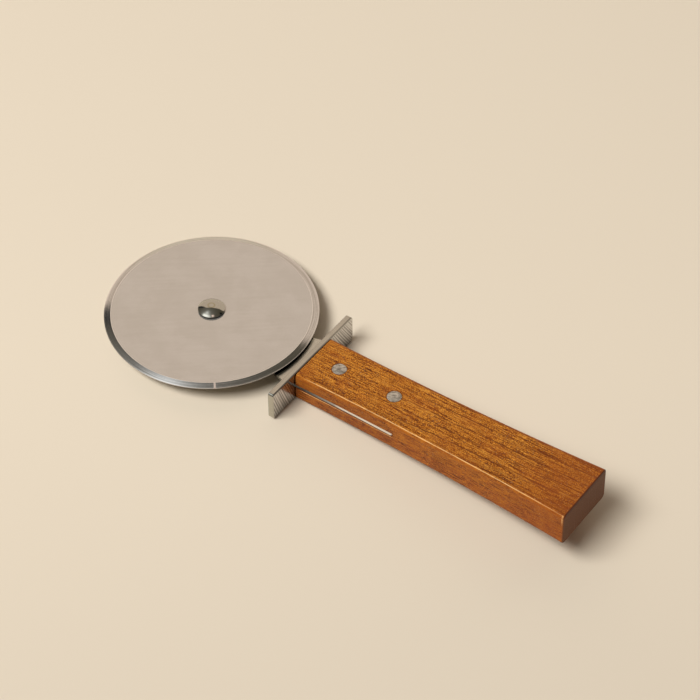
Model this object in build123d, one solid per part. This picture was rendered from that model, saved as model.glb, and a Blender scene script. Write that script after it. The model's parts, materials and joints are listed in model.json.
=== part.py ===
"""Pizza cutter: a steel wheel turns on a riveted axle at the end of a flat arm with a wooden handle.

The arm is one plate. It runs back from the axle, passes through a crosswise guard plate and goes on
as a tang into a slot sawn in the handle, where two pairs of cutlery rivets hold it.

Lengths are in millimetres. The pieces are modelled about the axle, which stands on the origin along Z.
The handle points along +X, and z = 0 is the middle plane of the arm plate. At the end the whole tool
is laid down as it lies on a table: on the wheel's far rim and on the handle's lower front edge.
"""

from build123d import *
import math
import os

os.makedirs("parts", exist_ok=True)

# Cutting wheel
wheel_diameter = 100.0
wheel_thickness = 1.5
bevel_width = 3.3
edge_land = 0.12
running_clearance = 0.05
wheel_side_play = 0.05

# Bush, spacer washer and tail washer on the axle
bush_diameter = 8.0
spacer_diameter = 15.0
spacer_thickness = 1.25
tail_washer_diameter = 11.0
tail_washer_thickness = 0.6
washer_clearance = 0.1

# Axle rivet
axle_diameter = 5.0
axle_clearance = 0.05
axle_head_diameter = 12.6
axle_head_rim = 0.9
axle_head_rise = 1.9
axle_head_flat_diameter = 1.6
axle_tail_diameter = 8.0
axle_tail_rim = 0.25
axle_tail_rise = 0.45

# Arm plate and its tang
plate_thickness = 1.5
arm_strap_width = 17.0
arm_shoulder_width = 32.8
arm_taper_length = 29.0
arm_blend_radius = 32.0
tang_length = 53.0
tang_corner_radius = 1.2

# Finger guard
rim_to_guard = 5.3
guard_thickness = 3.0
guard_length = 61.6
guard_height = 15.2
guard_drop = 0.6
guard_corner_radius = 1.0
guard_edge_break = 0.25
guard_slot_clearance = 0.1

# Handle
handle_gap = 0.3
handle_length = 145.2
handle_front_width = 28.8
handle_rear_width = 34.6
handle_waist = 1.4
handle_front_thickness = 15.8
handle_rear_thickness = 18.6
handle_drop = 0.75
handle_edge_radius = 2.2
handle_end_radius = 0.6
handle_front_break = 0.3
slot_gap = 0.3
slot_end_gap = 0.5
slot_lip_radius = 0.35

# Cutlery rivets through the handle and the tang
first_rivet_setback = 14.3
rivet_spacing = 30.2
rivet_head_diameter = 6.8
rivet_head_depth = 2.4
rivet_head_rise = 0.35
rivet_head_clearance = 0.05
rivet_socket_diameter = 5.0
rivet_pin_diameter = 3.2
rivet_pin_clearance = 0.02
rivet_socket_gap = 0.6
rivet_pin_gap = 1.0
rivet_hole_clearance = 0.1

# Room that every cutting tool runs past the piece it cuts
overrun = 5.0

# Places along Z, counted from the middle plane of the arm plate
plate_top = plate_thickness / 2
plate_bottom = -plate_thickness / 2
bush_length = spacer_thickness + wheel_thickness + 2 * wheel_side_play
wheel_bottom = plate_top + spacer_thickness + wheel_side_play
head_seat = plate_top + bush_length
tail_seat = plate_bottom - tail_washer_thickness
guard_bottom = -guard_drop - guard_height / 2

# Places along X, counted from the axle
wheel_radius = wheel_diameter / 2
wheel_flat_radius = wheel_radius - bevel_width
arm_reach = wheel_radius + rim_to_guard
guard_front = arm_reach
guard_back = guard_front + guard_thickness
handle_front = guard_back + handle_gap
handle_middle = handle_front + handle_length / 2
handle_rear = handle_front + handle_length
rivet_places = {
    "front": handle_front + first_rivet_setback,
    "rear": handle_front + first_rivet_setback + rivet_spacing,
}


def handle_half_thickness(x):
    """Half the handle's thickness at the distance x from the axle."""
    share = (x - handle_front) / handle_length
    return (handle_front_thickness + (handle_rear_thickness - handle_front_thickness) * share) / 2


def dome_height(radius, base_radius, rise):
    """Height of a round dome above its base circle, at a radius from its centre."""
    sphere = (base_radius**2 + rise**2) / (2 * rise)
    return math.sqrt(sphere**2 - radius**2) - (sphere - rise)


def ring(outer_diameter, bore_diameter, thickness, bottom):
    """Flat washer or bush about the axle."""
    blank = Cylinder(outer_diameter / 2, thickness, align=(Align.CENTER, Align.CENTER, Align.MIN))
    bore = Cylinder(bore_diameter / 2, thickness + 2 * overrun)
    return Pos(0, 0, bottom) * (blank - bore)


def cutting_wheel():
    """Round blade, ground to an edge from both faces, with a running fit on the bush."""
    bore_radius = bush_diameter / 2 + running_clearance
    top = wheel_bottom + wheel_thickness
    middle = wheel_bottom + wheel_thickness / 2
    outline = Polyline(
        (bore_radius, 0, wheel_bottom),
        (wheel_flat_radius, 0, wheel_bottom),
        (wheel_radius, 0, middle - edge_land / 2),
        (wheel_radius, 0, middle + edge_land / 2),
        (wheel_flat_radius, 0, top),
        (bore_radius, 0, top),
        close=True,
    )
    return revolve(make_face(outline), Axis.Z)


def axle_rivet():
    """Rivet with a domed head over the wheel, and its tail spread over the washer under the arm."""
    shank = axle_diameter / 2
    head = axle_head_diameter / 2
    head_flat = axle_head_flat_diameter / 2
    head_between = (head + head_flat) / 2
    head_base = head_seat + axle_head_rim
    tail = axle_tail_diameter / 2
    tail_base = tail_seat - axle_tail_rim
    tail_end = tail_base - axle_tail_rise
    dome = ThreePointArc(
        (head, 0, head_base),
        (head_between, 0, head_base + dome_height(head_between, head, axle_head_rise)),
        (head_flat, 0, head_base + dome_height(head_flat, head, axle_head_rise)),
    )
    tail_dome = ThreePointArc(
        (tail, 0, tail_base),
        (tail / 2, 0, tail_base - dome_height(tail / 2, tail, axle_tail_rise)),
        (0, 0, tail_end),
    )
    shaft = Polyline(
        tail_dome @ 0,
        (tail, 0, tail_seat),
        (shank, 0, tail_seat),
        (shank, 0, head_seat),
        (head, 0, head_seat),
        dome @ 0,
    )
    axis_line = Polyline(dome @ 1, (0, 0, (dome @ 1).Z), tail_dome @ 1)
    return revolve(make_face([tail_dome, shaft, dome, axis_line]), Axis.Z)


def handle_plan():
    """The handle's outline from above: parallel at the front, flared towards the butt."""
    front = handle_front_width / 2
    rear = handle_rear_width / 2
    waist = (front + rear) / 2 - handle_waist
    left = ThreePointArc((handle_front, front), (handle_middle, waist), (handle_rear, rear))
    right = ThreePointArc((handle_front, -front), (handle_middle, -waist), (handle_rear, -rear))
    return make_face([left, Line(left @ 1, right @ 1), right, Line(right @ 0, left @ 0)])


def arm_plate():
    """Strap round the axle that widens to shoulders at the guard, and the tang behind them."""
    strap_half = arm_strap_width / 2
    shoulder_half = arm_shoulder_width / 2
    taper_start = arm_reach - arm_taper_length
    outline = Polyline(
        (0, strap_half),
        (taper_start, strap_half),
        (arm_reach, shoulder_half),
        (arm_reach, -shoulder_half),
        (taper_start, -strap_half),
        (0, -strap_half),
    )
    arm = make_face([outline, ThreePointArc(outline @ 0, (-strap_half, 0), outline @ 1)])
    bends = arm.vertices().filter_by_position(Axis.X, taper_start, taper_start)
    arm = fillet(bends, arm_blend_radius)
    neck = Pos((arm_reach + handle_front) / 2, 0) * Rectangle(handle_front - arm_reach, handle_front_width)
    tang = Pos(handle_front, 0) * Rectangle(tang_length, handle_rear_width, align=(Align.MIN, Align.CENTER))
    tang = tang & handle_plan()
    tang = fillet(tang.vertices().group_by(Axis.X)[-1], tang_corner_radius)
    flat = arm + neck + tang
    plate = Pos(0, 0, plate_bottom) * extrude(flat, plate_thickness)
    plate -= Cylinder(axle_diameter / 2 + axle_clearance, plate_thickness + 2 * overrun)
    for place in rivet_places.values():
        hole = Cylinder(rivet_socket_diameter / 2 + rivet_hole_clearance, plate_thickness + 2 * overrun)
        plate -= Pos(place, 0, 0) * hole
    return plate


def finger_guard():
    """Crosswise plate that the tang passes through, trapped between the shoulders and the handle."""
    plate = Box(guard_thickness, guard_length, guard_height)
    plate = fillet(plate.edges().filter_by(Axis.X), guard_corner_radius)
    plate = chamfer(plate.faces().filter_by(Axis.X).edges(), guard_edge_break)
    plate = Pos(guard_front + guard_thickness / 2, 0, -guard_drop) * plate
    slot = Box(
        guard_thickness + 2 * overrun,
        handle_front_width + 2 * guard_slot_clearance,
        plate_thickness + 2 * guard_slot_clearance,
    )
    return plate - Pos(guard_front + guard_thickness / 2, 0, 0) * slot


def handle_block():
    """The handle before it is slotted and drilled, with its long edges rounded over."""
    front = handle_front_thickness / 2
    rear = handle_rear_thickness / 2
    side = Polyline(
        (handle_front, 0, -front),
        (handle_rear, 0, -rear),
        (handle_rear, 0, rear),
        (handle_front, 0, front),
        close=True,
    )
    block = extrude(make_face(side), handle_rear_width, both=True)
    block &= extrude(handle_plan(), handle_rear_thickness, both=True)
    long_edges = block.edges().filter_by(lambda edge: edge.bounding_box().size.X > handle_length / 2)
    block = fillet(long_edges, handle_edge_radius)
    block = fillet(block.faces().sort_by(Axis.X)[-1].edges(), handle_end_radius)
    block = chamfer(block.faces().sort_by(Axis.X)[0].edges(), handle_front_break)
    return Pos(0, 0, -handle_drop) * block


def handle():
    """One piece of wood with a slot for the tang and two stepped rivet holes."""
    slot_floor = plate_bottom - slot_gap
    slot = Box(
        tang_length + slot_end_gap + overrun,
        handle_rear_width + 2 * overrun,
        plate_top - slot_floor,
        align=(Align.MIN, Align.CENTER, Align.MIN),
    )
    wood = handle_block() - Pos(handle_front - overrun, 0, slot_floor) * slot
    lips = wood.edges().filter_by_position(Axis.Z, slot_floor, slot_floor)
    lips = lips.filter_by(lambda edge: edge.length > tang_length / 2)
    wood = fillet(lips, slot_lip_radius)
    for place in rivet_places.values():
        half = handle_half_thickness(place)
        through = Cylinder(rivet_socket_diameter / 2 + rivet_hole_clearance, 2 * (half + overrun))
        seat = Cylinder(
            rivet_head_diameter / 2 + rivet_head_clearance,
            rivet_head_depth + overrun,
            align=(Align.CENTER, Align.CENTER, Align.MIN),
        )
        upper_seat = Pos(0, 0, half - rivet_head_depth) * seat
        lower_seat = Pos(0, 0, rivet_head_depth - half) * Rot(180, 0, 0) * seat
        wood -= Pos(place, 0, -handle_drop) * (through + upper_seat + lower_seat)
    return wood


def rivet_head():
    """Rivet head with its seat on z = 0 and a low dome that stands just proud of the wood."""
    radius = rivet_head_diameter / 2
    dome = ThreePointArc(
        (radius, 0, rivet_head_depth),
        (radius / 2, 0, rivet_head_depth + dome_height(radius / 2, radius, rivet_head_rise)),
        (0, 0, rivet_head_depth + rivet_head_rise),
    )
    side = Polyline(dome @ 1, (0, 0, 0), (radius, 0, 0), dome @ 0)
    return revolve(make_face([dome, side]), Axis.Z)


def rivet_pair(place):
    """The two halves of a cutlery rivet: a pin from above, pressed into a socket from below."""
    seat = handle_half_thickness(place) - rivet_head_depth
    socket_length = 2 * seat - rivet_socket_gap
    pin_length = 2 * seat - rivet_pin_gap
    bore_depth = socket_length + rivet_head_depth / 2
    from_top = (Align.CENTER, Align.CENTER, Align.MAX)
    pin = rivet_head() + Cylinder(rivet_pin_diameter / 2, pin_length, align=from_top)
    socket = rivet_head() + Cylinder(rivet_socket_diameter / 2, socket_length, align=from_top)
    bore = Cylinder(rivet_pin_diameter / 2 + rivet_pin_clearance, bore_depth, align=from_top)
    socket -= Pos(0, 0, bore_depth - socket_length) * bore
    pin = Pos(place, 0, seat - handle_drop) * pin
    socket = Pos(place, 0, -seat - handle_drop) * Rot(180, 0, 0) * socket
    return pin, socket


def all_pieces():
    """Every piece by its name, in the place where it is assembled."""
    pieces = {
        "cutting_wheel": cutting_wheel(),
        "axle_rivet": axle_rivet(),
        "axle_bush": ring(bush_diameter, axle_diameter + 2 * axle_clearance, bush_length, plate_top),
        "spacer_washer": ring(
            spacer_diameter, bush_diameter + 2 * washer_clearance, spacer_thickness, plate_top
        ),
        "tail_washer": ring(
            tail_washer_diameter, axle_diameter + 2 * axle_clearance, tail_washer_thickness, tail_seat
        ),
        "arm_plate": arm_plate(),
        "finger_guard": finger_guard(),
        "handle": handle(),
    }
    for end, place in rivet_places.items():
        pieces[f"{end}_rivet_pin"], pieces[f"{end}_rivet_socket"] = rivet_pair(place)
    return pieces


# The tool rests where the wheel's lower flat face meets its bevel, and on the lowest edge behind it,
# which is the handle's lower front edge where that stands out below the guard
rest_edges = [
    (guard_front + guard_edge_break, guard_bottom),
    (handle_front + handle_front_break, -handle_drop - handle_front_thickness / 2),
]
rest_angle = max(math.atan2(wheel_bottom - z, wheel_flat_radius + x) for x, z in rest_edges)
tilt = Rot(0, -math.degrees(rest_angle), 0)
pieces = {name: tilt * piece for name, piece in all_pieces().items()}
extent = Compound(list(pieces.values())).bounding_box()
lay = Pos(-extent.center().X, -extent.center().Y, -extent.min.Z)
for name, piece in pieces.items():
    export_step(lay * piece, f"parts/{name}.step")

# Places of the joint and of the flat faces in the finished frame
butt_slope = math.atan2(handle_rear_thickness - handle_front_thickness, 2 * handle_length)
underside = (handle_middle, 0, -handle_drop - handle_half_thickness(handle_middle))
places = {
    "wheel centre": ((0, 0, wheel_bottom + wheel_thickness / 2), (0, 0, 1)),
    "handle underside": (underside, (-math.sin(butt_slope), 0, -math.cos(butt_slope))),
    "handle butt": ((handle_rear, 0, -handle_drop), (1, 0, 0)),
}
for name, (point, direction) in places.items():
    there = lay * tilt * Pos(*point)
    pointing = tilt * Pos(*direction)
    print(name, tuple(there.position), tuple(pointing.position))
print("size", extent.size, "rest angle", math.degrees(rest_angle))
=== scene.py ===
"""Looks of a pizza cutter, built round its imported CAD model.

The pieces are modelled in millimetres in the tool's own frame, as the part's source has them: the axle
stands on the origin along Z, the handle points along +X, and z = 0 is the middle plane of the arm plate.
Each finished piece is then laid down where the wheel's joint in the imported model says.
"""

import json
import logging
import math
from collections.abc import Callable, Iterator, Mapping, Sequence
from contextlib import contextmanager
from dataclasses import dataclass
from enum import Enum
from typing import Any, ClassVar

import bmesh
import bpy
from mathutils import Matrix, Vector


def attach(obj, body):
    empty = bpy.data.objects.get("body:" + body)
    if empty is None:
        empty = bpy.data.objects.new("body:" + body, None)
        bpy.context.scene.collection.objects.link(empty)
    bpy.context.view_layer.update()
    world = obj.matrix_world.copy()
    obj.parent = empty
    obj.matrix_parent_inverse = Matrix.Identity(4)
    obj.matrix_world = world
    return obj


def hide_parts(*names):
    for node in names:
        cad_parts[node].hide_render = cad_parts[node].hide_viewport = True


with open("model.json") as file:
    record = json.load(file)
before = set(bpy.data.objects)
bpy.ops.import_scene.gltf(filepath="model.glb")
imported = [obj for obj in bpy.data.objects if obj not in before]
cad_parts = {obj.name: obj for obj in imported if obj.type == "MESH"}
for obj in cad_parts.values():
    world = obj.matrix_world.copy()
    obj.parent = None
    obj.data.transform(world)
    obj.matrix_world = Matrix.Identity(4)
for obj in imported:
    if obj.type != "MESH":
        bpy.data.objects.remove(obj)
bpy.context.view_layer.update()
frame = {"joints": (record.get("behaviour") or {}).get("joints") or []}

Piece = bpy.types.Object
Rings = list[tuple[float, float]]
Test = Callable[[Any], bool]
log = logging.getLogger("pizza_cutter")
MM = 0.001
# Sizes in millimetres that several pieces share.
PLATE_HALF = 0.75
WHEEL_MIDDLE = 2.8
GUARD_FRONT = 55.3
GUARD_BACK = 58.3
HANDLE_FRONT = 58.6
HANDLE_LENGTH = 145.2
HANDLE_DROP = 0.75
HALF_WIDTH_FRONT = 14.4
HALF_WIDTH_MIDDLE = 14.45
HALF_WIDTH_REAR = 17.3
HALF_THICKNESS_FRONT = 7.9
HALF_THICKNESS_GROWTH = 1.4
TANG_LENGTH = 53.0
SLOT_FLOOR = -1.05
SLOT_TOP = 0.75
RIVET_PLACES = {"front": 72.9, "rear": 103.1}
RIVET_HEAD = 3.4
OVERRUN = 5.0


def linear(red: float, green: float, blue: float) -> tuple[float, float, float, float]:
    """Turns a display colour into the linear colour that a shader takes.

    Args:
        red: display value from 0 to 255.
        green: display value from 0 to 255.
        blue: display value from 0 to 255.

    Returns:
        The linear colour with full alpha.
    """
    shares = (red, green, blue)
    return tuple(((c / 255 + 0.055) / 1.055) ** 2.4 if c > 10 else c / 3295 for c in shares) + (1.0,)


def tool_placement() -> Matrix:
    """Works out where the tool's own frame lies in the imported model, from the wheel's joint.

    Returns:
        The matrix from millimetres in the tool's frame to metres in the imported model.
    """
    joint = frame["joints"][0]
    axle = Vector(joint["axis"]).normalized()
    across = Vector((0, 1, 0))
    turn = Matrix((across.cross(axle), across, axle)).transposed().to_4x4()
    origin = Vector(joint["pos_m"]) - axle * WHEEL_MIDDLE * MM
    return Matrix.Translation(origin) @ turn @ Matrix.Scale(MM, 4)


TOOL = tool_placement()


class Element(Enum):
    """The kinds of mesh element that are picked and rounded in edit mode."""

    VERTEX = "VERT"
    EDGE = "EDGE"


class Body(Enum):
    """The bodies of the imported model."""

    GRIP = "grip"
    WHEEL = "wheel"


class Bench:
    """The modelling steps that the pieces share, done as by hand with Blender's own operators."""

    @staticmethod
    def clear() -> None:
        """Leaves edit mode and deselects every object."""
        if bpy.context.mode != "OBJECT":
            bpy.ops.object.mode_set(mode="OBJECT")
        bpy.ops.object.select_all(action="DESELECT")

    @staticmethod
    def take(piece: Piece) -> None:
        """Selects one piece alone and makes it the active one."""
        Bench.clear()
        piece.select_set(True)
        bpy.context.view_layer.objects.active = piece

    @staticmethod
    def claim(name: str) -> Piece:
        """Names the primitive that was just added and puts its place into its mesh.

        Args:
            name: name of the new piece.

        Returns:
            The piece, with its object at the origin.
        """
        piece = bpy.context.object
        piece.name = piece.data.name = name
        bpy.ops.object.transform_apply(location=True, rotation=True, scale=True)
        return piece

    @staticmethod
    @contextmanager
    def editing(piece: Piece) -> Iterator[None]:
        """Holds a piece in edit mode.

        Args:
            piece: the piece to edit.

        Yields:
            Nothing; the piece is in edit mode meanwhile.
        """
        Bench.take(piece)
        bpy.ops.object.mode_set(mode="EDIT")
        yield
        bpy.ops.object.mode_set(mode="OBJECT")

    @staticmethod
    def pick(piece: Piece, element: Element, test: Test) -> None:
        """Selects the elements that pass a test on their place. The piece is in edit mode.

        Args:
            piece: the piece in edit mode.
            element: kind of element to select.
            test: says whether an element is wanted.
        """
        bpy.ops.mesh.select_mode(type=element.value)
        bpy.ops.mesh.select_all(action="DESELECT")
        shape = bmesh.from_edit_mesh(piece.data)
        for one in shape.verts if element is Element.VERTEX else shape.edges:
            if test(one):
                one.select_set(True)
        shape.select_flush_mode()
        bmesh.update_edit_mesh(piece.data)

    @staticmethod
    def soften(piece: Piece, element: Element, test: Test, width: float, segments: int) -> None:
        """Rounds the edges or corners that pass a test. The piece is in edit mode.

        Args:
            piece: the piece in edit mode.
            element: edges, or vertices for the corners of a flat outline.
            test: says whether one is wanted.
            width: width of the rounding.
            segments: steps across the rounding.
        """
        Bench.pick(piece, element, test)
        kind = "EDGES" if element is Element.EDGE else "VERTICES"
        bpy.ops.mesh.bevel(offset=width, segments=segments, affect=kind)

    @staticmethod
    def face_outwards() -> None:
        """Turns every face of the piece in edit mode outwards."""
        bpy.ops.mesh.select_all(action="SELECT")
        bpy.ops.mesh.normals_make_consistent(inside=False)

    @staticmethod
    def at_height(edge: Any, level: float) -> bool:
        """Says whether an edge starts at a height."""
        return abs(edge.verts[0].co.z - level) < 1e-4

    @staticmethod
    def lies_at(edge: Any, place: float) -> bool:
        """Says whether an edge lies crosswise at a distance from the axle."""
        return all(abs(vertex.co.x - place) < 0.01 for vertex in edge.verts)

    @staticmethod
    def run(edge: Any) -> float:
        """How far an edge runs along the tool."""
        return abs(edge.verts[0].co.x - edge.verts[1].co.x)

    @staticmethod
    def turned(name: str, rings: Rings, segments: int) -> Piece:
        """Turns a piece about the Z axis by drawing one ring out of the other.

        Args:
            name: name of the piece.
            rings: radius and height of each ring. A profile that ends where it begins is a closed ring,
                and one that ends on a small radius is capped at both ends.
            segments: number of steps round the axis.

        Returns:
            The closed piece.
        """
        Bench.clear()
        radius, height = rings[0]
        bpy.ops.mesh.primitive_circle_add(
            vertices=segments, radius=radius, fill_type="NOTHING", location=(0, 0, height)
        )
        piece = Bench.claim(name)
        with Bench.editing(piece):
            bpy.ops.mesh.select_mode(type="EDGE")
            bpy.ops.mesh.select_all(action="SELECT")
            for next_radius, next_height in rings[1:]:
                climb = (0, 0, next_height - height)
                bpy.ops.mesh.extrude_edges_move(TRANSFORM_OT_translate={"value": climb})
                growth = next_radius / radius
                bpy.ops.transform.resize(value=(growth, growth, 1), center_override=(0, 0, next_height))
                radius, height = next_radius, next_height
            bpy.ops.mesh.select_all(action="SELECT")
            bpy.ops.mesh.remove_doubles(threshold=0.0005)
            if rings[0] != rings[-1]:
                bpy.ops.mesh.select_mode(type="EDGE")
                for _, level in (rings[0], rings[-1]):
                    Bench.pick(piece, Element.EDGE, lambda e: e.is_boundary and Bench.at_height(e, level))
                    bpy.ops.mesh.edge_face_add()
            Bench.face_outwards()
        return piece

    @staticmethod
    def rod(radius: float, low: float, high: float, place: float = 0.0) -> Piece:
        """Stands a round cutter along Z.

        Args:
            radius: its radius.
            low: height of its lower end.
            high: height of its upper end.
            place: distance of its axis from the axle.

        Returns:
            The cutter.
        """
        Bench.clear()
        middle = (place, 0, (low + high) / 2)
        bpy.ops.mesh.primitive_cylinder_add(vertices=96, radius=radius, depth=high - low, location=middle)
        return Bench.claim("drill")

    @staticmethod
    def brick(name: str, low: Sequence[float], high: Sequence[float]) -> Piece:
        """Adds a rectangular blank or cutter.

        Args:
            name: its name.
            low: its lowest corner.
            high: its highest corner.

        Returns:
            The blank.
        """
        Bench.clear()
        size = [b - a for a, b in zip(low, high)]
        middle = [(a + b) / 2 for a, b in zip(low, high)]
        bpy.ops.mesh.primitive_cube_add(size=1, location=middle, scale=size)
        return Bench.claim(name)

    @staticmethod
    def cut(piece: Piece, *cutters: Piece) -> None:
        """Cuts each cutter out of a piece and throws the cutter away.

        Args:
            piece: the piece that is cut.
            *cutters: what is cut out of it.
        """
        for cutter in cutters:
            Bench.take(piece)
            modifier = piece.modifiers.new("cut", "BOOLEAN")
            modifier.operation = "DIFFERENCE"
            modifier.solver = "EXACT"
            modifier.object = cutter
            bpy.ops.object.modifier_apply(modifier=modifier.name)
            bpy.data.objects.remove(cutter)

    @staticmethod
    def break_edges(piece: Piece, width: float, angle: float = 30.0) -> None:
        """Rounds every edge that is sharper than an angle.

        Args:
            piece: the piece.
            width: width of the rounding.
            angle: edges up to this many degrees stay as they are.
        """
        Bench.take(piece)
        modifier = piece.modifiers.new("edges", "BEVEL")
        modifier.width = width
        modifier.segments = 2
        modifier.limit_method = "ANGLE"
        modifier.angle_limit = math.radians(angle)
        bpy.ops.object.modifier_apply(modifier=modifier.name)

    @staticmethod
    def shade(piece: Piece, angle: float = 40.0) -> None:
        """Shades a piece smooth, with its large flat faces kept flat.

        Args:
            piece: the piece.
            angle: edges sharper than this many degrees stay sharp.
        """
        Bench.take(piece)
        bpy.ops.object.shade_smooth_by_angle(angle=math.radians(angle))
        modifier = piece.modifiers.new("flats", "WEIGHTED_NORMAL")
        modifier.keep_sharp = True
        modifier.weight = 100
        bpy.ops.object.modifier_apply(modifier=modifier.name)

    @staticmethod
    def lay_down(piece: Piece) -> None:
        """Takes a finished piece from the tool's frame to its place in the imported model."""
        Bench.take(piece)
        piece.matrix_world = TOOL
        bpy.ops.object.transform_apply(location=True, rotation=True, scale=True)

    @staticmethod
    def hand_in(piece: Piece, body: Body, node: str, slot: str, *finishes: "Finish") -> Piece:
        """Dresses a finished piece and lets it stand for its CAD node.

        Args:
            piece: the piece, still in the tool's frame.
            body: body that it rides on.
            node: CAD node that it stands for.
            slot: the record's material slot; not used.
            *finishes: a finish for each of its material slots.

        Returns:
            The piece in its place.
        """
        Bench.lay_down(piece)
        piece.data.materials.clear()
        for finish in finishes:
            piece.data.materials.append(finish.material())
        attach(piece, body.value)
        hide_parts(node)
        triangles = sum(len(p.vertices) - 2 for p in piece.data.polygons)
        log.info("%s stands for %s: %d triangles", piece.name, node, triangles)
        return piece


def heading(azimuth: float, height: float) -> Vector:
    """Gives the direction that lies at two angles.

    Args:
        azimuth: degrees round from +X.
        height: degrees up from the floor.

    Returns:
        An arrow of length 1.
    """
    a, e = math.radians(azimuth), math.radians(height)
    return Vector((math.cos(a) * math.cos(e), math.sin(a) * math.cos(e), math.sin(e)))


def dome(radius: float, base: float, rise: float, steps: int, inner: float = 0.02) -> Rings:
    """Rings of a round dome from its rim to its top.

    Args:
        radius: radius of the rim.
        base: height of the rim.
        rise: how far the top stands above the rim, negative for a dome that hangs down.
        steps: number of rings.
        inner: radius of the last ring.

    Returns:
        Radius and height of each ring, the rim first.
    """
    side = math.copysign(1, rise)
    sphere = (radius**2 + rise**2) / (2 * abs(rise))
    middle = base + rise - side * sphere
    rim_angle = math.asin(radius / sphere)
    top_angle = math.asin(inner / sphere)
    angles = [rim_angle + (top_angle - rim_angle) * i / steps for i in range(steps + 1)]
    return [(sphere * math.sin(a), middle + side * sphere * math.cos(a)) for a in angles]


@dataclass(frozen=True)
class Signal:
    """A value on its way through a node sheet. Sums on it add Math nodes."""

    sheet: "NodeSheet"
    socket: bpy.types.NodeSocket

    def other(self, output: str) -> "Signal":
        """Another output of the same node."""
        return Signal(self.sheet, self.socket.node.outputs[output])

    def maths(self, operation: str, *values: Any) -> "Signal":
        """Runs the signal and further values through one Math node.

        Args:
            operation: the Math node's operation.
            *values: the further values or signals.

        Returns:
            The result.
        """
        return self.sheet.node("ShaderNodeMath", {"operation": operation}, dict(enumerate((self, *values))))

    def __add__(self, value: Any) -> "Signal":
        """Sum."""
        return self.maths("ADD", value)

    def __sub__(self, value: Any) -> "Signal":
        """Difference."""
        return self.maths("SUBTRACT", value)

    def __mul__(self, value: Any) -> "Signal":
        """Product."""
        return self.maths("MULTIPLY", value)

    def __truediv__(self, value: Any) -> "Signal":
        """Quotient."""
        return self.maths("DIVIDE", value)

    def __rsub__(self, value: Any) -> "Signal":
        """Difference with the signal on the right."""
        return self.sheet.node("ShaderNodeMath", {"operation": "SUBTRACT"}, {0: value, 1: self})

    def __pow__(self, value: Any) -> "Signal":
        """Power."""
        return self.maths("POWER", value)

    __radd__ = __add__
    __rmul__ = __mul__

    def step(self, low: Any, high: Any) -> "Signal":
        """Smooth step from 0 at the low value to 1 at the high one, which may be the smaller.

        Args:
            low: value where the step starts.
            high: value where it is done.

        Returns:
            A signal from 0 to 1.
        """
        settings = {"interpolation_type": "SMOOTHSTEP"}
        inputs = {"Value": self, "From Min": low, "From Max": high}
        return self.sheet.node("ShaderNodeMapRange", settings, inputs)

    def length_with(self, other: "Signal") -> "Signal":
        """Length of the arrow that two signals make at a right angle."""
        return (self * self + other * other).maths("SQRT")

    def band(self, low: float, high: float, soft: float) -> "Signal":
        """Band that is 1 between two values and falls to 0 over a soft edge outside them.

        Args:
            low: lower end of the band.
            high: upper end of the band.
            soft: width of each soft edge.

        Returns:
            A signal from 0 to 1.
        """
        return self.step(low - soft, low) * self.step(high + soft, high)


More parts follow.
